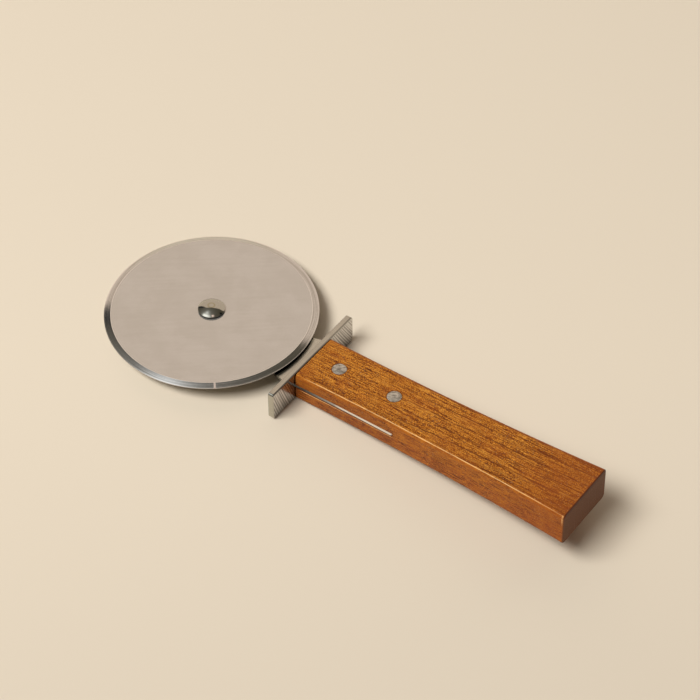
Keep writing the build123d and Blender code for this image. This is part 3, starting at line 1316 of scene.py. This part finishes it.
@dataclass
class ArmPlate:
    """The flat arm with its shoulders, and the tang that goes on into the handle."""

    strap_half: float = 8.5
    shoulder_half: float = 16.4
    taper_start: float = 26.3
    bend_cut: float = 4.28
    tang_corner: float = 1.2
    tang_steps: int = 12
    axle_hole: float = 2.55
    rivet_hole: float = 2.6
    edge: float = 0.1
    segments: int = 96

    def build(self) -> Piece:
        """Draws the outline, gives it its thickness, and drills it.

        Returns:
            The plate in its place.
        """
        Bench.clear()
        start = (0, 0, -PLATE_HALF)
        bpy.ops.mesh.primitive_circle_add(vertices=self.segments, radius=self.strap_half, location=start)
        plate = Bench.claim("riveted_arm")
        tang = [HANDLE_FRONT + TANG_LENGTH * i / self.tang_steps for i in range(self.tang_steps + 1)]
        neck = handle_half_width(HANDLE_FRONT)
        pairs = [(self.taper_start, self.strap_half), (GUARD_FRONT, self.shoulder_half), (GUARD_FRONT, neck)]
        pairs += [(x, handle_half_width(x)) for x in tang]
        with Bench.editing(plate):
            Bench.pick(plate, Element.VERTEX, lambda v: v.co.x > 0.01)
            bpy.ops.mesh.delete(type="VERT")
            Bench.pick(plate, Element.VERTEX, lambda v: v.co.x > -0.01)
            x, half = 0.0, self.strap_half
            for next_x, next_half in pairs:
                bpy.ops.mesh.extrude_vertices_move(TRANSFORM_OT_translate={"value": (next_x - x, 0, 0)})
                growth = (1, next_half / half, 1)
                bpy.ops.transform.resize(value=growth, center_override=(next_x, 0, 0))
                x, half = next_x, next_half
            bpy.ops.mesh.select_all(action="SELECT")
            bpy.ops.mesh.edge_face_add()
            for place, cut, steps in ((self.taper_start, self.bend_cut, 8), (tang[-1], self.tang_corner, 5)):
                Bench.soften(plate, Element.VERTEX, lambda v: abs(v.co.x - place) < 0.01, cut, steps)
            bpy.ops.mesh.select_all(action="SELECT")
            bpy.ops.mesh.extrude_region_move(TRANSFORM_OT_translate={"value": (0, 0, 2 * PLATE_HALF)})
            Bench.face_outwards()
        Bench.cut(plate, Bench.rod(self.axle_hole, -OVERRUN, OVERRUN))
        for place in RIVET_PLACES.values():
            Bench.cut(plate, Bench.rod(self.rivet_hole, -OVERRUN, OVERRUN, place))
        Bench.break_edges(plate, self.edge)
        Bench.shade(plate)
        return Bench.hand_in(plate, Body.GRIP, "arm_plate", "satin_arm_steel", SatinPlate())


@dataclass
class FingerGuard:
    """The crosswise plate between the wheel and the handle."""

    half_length: float = 30.8
    half_height: float = 7.6
    drop: float = 0.6
    corner: float = 1.4
    edge: float = 0.25
    slot_half_width: float = 14.5
    slot_half_height: float = 0.85

    def build(self) -> Piece:
        """Rounds a blank at its corners, breaks its edges and cuts the slot for the tang.

        Returns:
            The guard in its place.
        """
        low = (GUARD_FRONT, -self.half_length, -self.drop - self.half_height)
        high = (GUARD_BACK, self.half_length, -self.drop + self.half_height)
        guard = Bench.brick("stamped_guard", low, high)
        with Bench.editing(guard):
            Bench.soften(guard, Element.EDGE, lambda e: Bench.run(e) > 1, self.corner, segments=6)
            Bench.soften(guard, Element.EDGE, lambda e: Bench.run(e) < 0.01, self.edge, segments=2)
        low = (GUARD_FRONT - OVERRUN, -self.slot_half_width, -self.slot_half_height)
        high = (GUARD_BACK + OVERRUN, self.slot_half_width, self.slot_half_height)
        Bench.cut(guard, Bench.brick("slot", low, high))
        Bench.shade(guard, angle=35)
        return Bench.hand_in(guard, Body.GRIP, "finger_guard", "satin_guard_steel", GuardSteel())


@dataclass
class WoodenHandle:
    """The handle: one piece of wood, slotted for the tang and drilled for its rivets."""

    stations: int = 28
    edge_radius: float = 2.2
    end_radius: float = 0.6
    front_break: float = 0.3
    slot_play: float = 0.5
    lip_radius: float = 0.35
    lip_from: float = 14.0
    seat_radius: float = 3.45
    seat_depth: float = 2.4
    hole_radius: float = 2.6
    saw_half: float = 25.0
    drill_reach: float = 20.0

    def blank(self) -> Piece:
        """Draws the blank out station by station and rounds its edges.

        Returns:
            The blank.
        """
        Bench.clear()
        x = HANDLE_FRONT
        width, thickness = handle_half_width(x), handle_half_thickness(x)
        facing_forward = (0, -math.pi / 2, 0)
        bpy.ops.mesh.primitive_plane_add(size=2, location=(x, 0, -HANDLE_DROP), rotation=facing_forward)
        wood = Bench.claim("wooden_grip")
        with Bench.editing(wood):
            bpy.ops.mesh.select_all(action="SELECT")
            bpy.ops.transform.resize(value=(1, width, thickness), center_override=(x, 0, -HANDLE_DROP))
            for i in range(1, self.stations + 1):
                next_x = HANDLE_FRONT + HANDLE_LENGTH * i / self.stations
                next_width, next_thickness = handle_half_width(next_x), handle_half_thickness(next_x)
                bpy.ops.mesh.extrude_region_move(TRANSFORM_OT_translate={"value": (next_x - x, 0, 0)})
                growth = (1, next_width / width, next_thickness / thickness)
                bpy.ops.transform.resize(value=growth, center_override=(next_x, 0, -HANDLE_DROP))
                x, width, thickness = next_x, next_width, next_thickness
            Bench.soften(wood, Element.EDGE, lambda e: Bench.run(e) > 1, self.edge_radius, segments=8)
            rear = HANDLE_FRONT + HANDLE_LENGTH
            for end, radius, steps in ((rear, self.end_radius, 4), (HANDLE_FRONT, self.front_break, 2)):
                Bench.soften(wood, Element.EDGE, lambda e: Bench.lies_at(e, end), radius, steps)
            Bench.face_outwards()
        return wood

    def cutters(self) -> list[Piece]:
        """Makes the cutters for the slot and for the stepped rivet holes.

        Returns:
            The cutters.
        """
        low = (HANDLE_FRONT - OVERRUN, -self.saw_half, SLOT_FLOOR)
        high = (HANDLE_FRONT + TANG_LENGTH + self.slot_play, self.saw_half, SLOT_TOP)
        tools = [Bench.brick("saw", low, high)]
        for place in RIVET_PLACES.values():
            seat = handle_half_thickness(place) - self.seat_depth
            tools.append(Bench.rod(self.hole_radius, -self.drill_reach, self.drill_reach, place))
            tools.append(Bench.rod(self.seat_radius, seat - HANDLE_DROP, self.drill_reach, place))
            tools.append(Bench.rod(self.seat_radius, -self.drill_reach, -seat - HANDLE_DROP, place))
        return tools

    def build(self) -> Piece:
        """Cuts the blank, softens the slot's lower lip, and dresses it.

        Returns:
            The handle in its place.
        """
        wood = self.blank()
        Bench.cut(wood, *self.cutters())
        with Bench.editing(wood):
            Bench.soften(wood, Element.EDGE, self.is_lip, self.lip_radius, segments=3)
        Bench.shade(wood)
        return Bench.hand_in(wood, Body.GRIP, "handle", "oiled_wood", OiledWood())

    def is_lip(self, edge: Any) -> bool:
        """Says whether an edge is part of the slot's lower lip, on either side of the handle.

        Args:
            edge: the edge.

        Returns:
            True for an edge of the lip.
        """
        one, two = (vertex.co for vertex in edge.verts)
        low = abs(one.z - SLOT_FLOOR) < 0.01 and abs(two.z - SLOT_FLOOR) < 0.01
        outside = min(abs(one.y), abs(two.y)) > self.lip_from
        return low and outside and abs(one.x - two.x) > abs(one.y - two.y)


@dataclass
class CutleryRivets:
    """Two pairs of cutlery rivets: a pin from above, pressed into a socket from below."""

    depth: float = 2.4
    rise: float = 0.35
    corner: float = 0.16
    crown_foot: float = 0.02
    pin: float = 1.6
    pin_gap: float = 1.0
    socket: float = 2.5
    socket_gap: float = 0.6
    segments: int = 72

    def half(self, name: str, node: str, place: float, shank: float, side: int) -> Piece:
        """Turns one half of a pair with its shank, and stands it in its hole.

        Args:
            name: name of the piece.
            node: CAD node that it stands for.
            place: distance of the hole from the axle.
            shank: radius of the shank.
            side: 1 for the half that enters from above, -1 for the one from below.

        Returns:
            The half in its place.
        """
        seat = handle_half_thickness(place) - self.depth
        length = 2 * seat - (self.pin_gap if side > 0 else self.socket_gap)
        base = seat + self.depth
        foot = self.crown_foot
        rings = [(shank, seat - length), (shank, seat), (RIVET_HEAD, seat), (RIVET_HEAD, base - self.corner)]
        rings += dome(RIVET_HEAD - self.corner, base + foot, self.rise - foot, steps=8)
        rivet = Bench.turned(name, rings, self.segments)
        with Bench.editing(rivet):
            bpy.ops.mesh.select_all(action="SELECT")
            if side < 0:
                bpy.ops.transform.rotate(value=math.pi, orient_axis="X", center_override=(0, 0, 0))
            bpy.ops.transform.translate(value=(place, 0, -HANDLE_DROP))
        Bench.shade(rivet)
        return Bench.hand_in(rivet, Body.GRIP, node, "handle_rivet_steel", BrushedRivet())

    def build(self) -> None:
        """Makes all four halves."""
        for end, place in RIVET_PLACES.items():
            self.half(f"{end}_upper_rivet", f"{end}_rivet_pin", place, self.pin, 1)
            self.half(f"{end}_lower_rivet", f"{end}_rivet_socket", place, self.socket, -1)


@dataclass(frozen=True)
class Patch:
    """A soft-edged patch in the room, by its degrees round from the backdrop's middle and up.

    A crown lowers its edges away from the backdrop's middle.
    """

    left: float
    right: float
    low: float
    high: float
    soft: float
    colour: tuple[float, float, float, float]
    crown: float = 0.0


@dataclass(frozen=True)
class Glow:
    """A soft round glow in the room, by its direction and spread in degrees. A haze falls off more slowly."""

    azimuth: float
    height: float
    spread: float
    colour: tuple[float, float, float]
    haze: bool = False


@dataclass
class Studio:
    """The plain pale floor, the soft lamp and the room that the steel mirrors."""

    facing: float = 121.0
    floor_half: float = 6.0
    room: tuple = (0.085, 0.07, 0.045, 1.0)
    low_room: tuple = (0.42, 0.37, 0.30, 1.0)
    low_room_top: float = 16.0
    low_room_full: float = 4.0
    lamp_azimuth: float = 241.0
    lamp_height: float = 53.0
    lamp_distance: float = 4.4
    lamp_size: tuple = (2.45, 1.54)
    lamp_power: float = 197.0
    lamp_colour: tuple = (1.0, 0.985, 0.96)
    glows: tuple = (
        Glow(226, 58, 21, (0.55, 0.55, 0.545), haze=True),
        Glow(217, 49.5, 7.5, (1.30, 1.32, 1.33)),
        Glow(198, 65, 8.0, (0.56, 0.58, 0.60)),
        Glow(230, 59, 8.0, (1.10, 1.12, 1.13)),
        Glow(252, 66, 9.0, (0.90, 0.90, 0.90)),
        Glow(306, 79.5, 4.5, (1.60, 1.20, 1.08)),
    )
    dark_patches: tuple = (
        Patch(-165, -65, 8, 56, 5, (0.01, 0.01, 0.01, 1.0)),
        Patch(40, 48, 10, 31, 4, (0.045, 0.045, 0.045, 1.0)),
    )
    backdrop: Patch = Patch(-49, 40.5, -90, 57, 2.5, (0.79, 0.645, 0.525, 1.0), crown=0.0065)

    def floor(self) -> None:
        """Lays the floor at table height."""
        Bench.clear()
        bpy.ops.mesh.primitive_plane_add(size=2 * self.floor_half, location=(0, 0, 0))
        floor = Bench.claim("studio_floor")
        floor.data.materials.append(PaleFloor().material())

    def surroundings(self) -> None:
        """Gives the world its dim room, its glows and its lit backdrop."""
        world = bpy.data.worlds.new("studio_room")
        bpy.context.scene.world = world
        world.use_nodes = True
        sheet = NodeSheet(world.node_tree)
        direction = sheet.node("ShaderNodeTexCoord", output="Generated")
        x, y, z = sheet.axes(direction)
        c, s = math.cos(math.radians(self.facing)), math.sin(math.radians(self.facing))
        turn = math.degrees(1)
        round_about = (y * c - x * s).maths("ARCTAN2", x * c + y * s) * turn
        up = z.maths("ARCSINE") * turn
        light = sheet.blend(up.step(self.low_room_top, self.low_room_full), self.room, self.low_room)
        for glow in self.glows:
            inputs = {0: direction, 1: heading(glow.azimuth, glow.height)}
            nearness = sheet.node("ShaderNodeVectorMath", {"operation": "DOT_PRODUCT"}, inputs, "Value")
            away = nearness.maths("MINIMUM", 1.0).maths("ARCCOSINE") * (turn / glow.spread)
            fall = away if glow.haze else away * away
            light = sheet.add_light(light, glow.colour, (fall * -1.0).maths("EXPONENT"))
        for patch in (*self.dark_patches, self.backdrop):
            lowered = up + round_about * round_about * patch.crown
            share = round_about.band(patch.left, patch.right, patch.soft)
            share = share * lowered.band(patch.low, patch.high, patch.soft)
            light = sheet.blend(share, light, patch.colour)
        backing = sheet.node("ShaderNodeBackground", None, {"Color": light, "Strength": 1.0})
        sheet.node("ShaderNodeOutputWorld", None, {"Surface": backing})

    def lamp(self) -> None:
        """Hangs the soft lamp, which points at the tool."""
        Bench.clear()
        towards = heading(self.lamp_azimuth, self.lamp_height)
        turn = towards.to_track_quat("Z", "Y").to_euler()
        bpy.ops.object.light_add(type="AREA", location=towards * self.lamp_distance, rotation=turn)
        lamp = bpy.context.object
        lamp.name = lamp.data.name = "main_softbox"
        lamp.data.shape = "RECTANGLE"
        lamp.data.size, lamp.data.size_y = self.lamp_size
        lamp.data.energy = self.lamp_power
        lamp.data.color = self.lamp_colour
        lamp.visible_camera = False
        lamp.visible_glossy = False

    def build(self) -> None:
        """Sets up floor, room and lamp."""
        self.floor()
        self.surroundings()
        self.lamp()
        bpy.context.scene.view_settings.view_transform = "Standard"


@dataclass(frozen=True)
class PhotoCamera:
    """The camera at the photograph's viewing angle, with lengths in millimetres."""

    azimuth: float = 30.658
    elevation: float = 48.942
    roll: float = 6.496
    across: float = 1.975
    up: float = 22.251
    distance: float = 1276.16
    lens: float = 144.0

    def build(self) -> None:
        """Sets the camera up and makes it the scene's own."""
        Bench.clear()
        a, e, r = (math.radians(v) for v in (self.azimuth, self.elevation, self.roll))
        back = Vector((math.sin(a) * math.cos(e), -math.cos(a) * math.cos(e), math.sin(e)))
        level = Vector((math.cos(a), math.sin(a), 0))
        upright = back.cross(level)
        right = level * math.cos(r) + upright * math.sin(r)
        top = upright * math.cos(r) - level * math.sin(r)
        place = (back * self.distance + right * self.across + top * self.up) * MM
        bpy.ops.object.camera_add()
        camera = bpy.context.object
        camera.name = "photo_camera"
        camera.data.lens = self.lens
        camera.data.sensor_width = 36.0
        camera.data.clip_start = 0.05
        camera.data.clip_end = 50.0
        turn = Matrix((right, top, back)).transposed().to_4x4()
        camera.matrix_world = Matrix.Translation(place) @ turn
        bpy.context.scene.camera = camera


def main() -> None:
    """Builds the studio and every piece."""
    logging.basicConfig(level=logging.INFO, format="%(name)s: %(message)s")
    Studio().build()
    PhotoCamera().build()
    for assembly in (CuttingWheel(), AxleStack(), ArmPlate(), FingerGuard(), WoodenHandle(), CutleryRivets()):
        assembly.build()
        log.info("%s built", type(assembly).__name__)
    Bench.clear()


if __name__ == "__main__":
    main()
